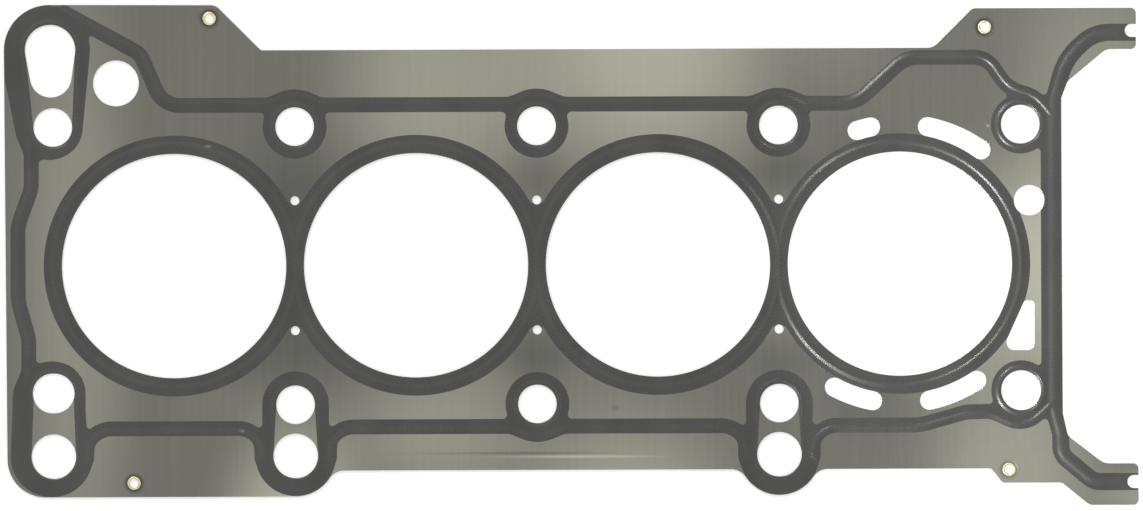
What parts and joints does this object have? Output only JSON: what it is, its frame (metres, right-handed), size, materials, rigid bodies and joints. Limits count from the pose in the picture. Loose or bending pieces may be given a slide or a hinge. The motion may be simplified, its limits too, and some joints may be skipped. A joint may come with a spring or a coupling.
{
  "type": "cylinder head gasket",
  "caption": "Flat layered-steel cylinder head gasket for an in-line engine, with printed elastomer sealing bands, bolt holes, oil and coolant passages and brass eyelets.",
  "frame": {"origin": "middle of the bore row, on the underside, half way between the middle pair of head bolts", "axes": "+X along the bore row towards the end with the two horns, +Y towards the side with five bolt holes and no oil drains, +Z out of the printed face"},
  "size_m": [0.4029, 0.179, 0.001],
  "materials": {
    "coated_steel": "satin, olive-grey clear coat",
    "elastomer_print": "matt dark grey print",
    "eyelet_brass": "pale, bright"
  },
  "bodies": {
    "root": {"steel_plate": "coated_steel", "seal_coating": "elastomer_print", "eyelets": "eyelet_brass"}
  },
  "joints": []
}
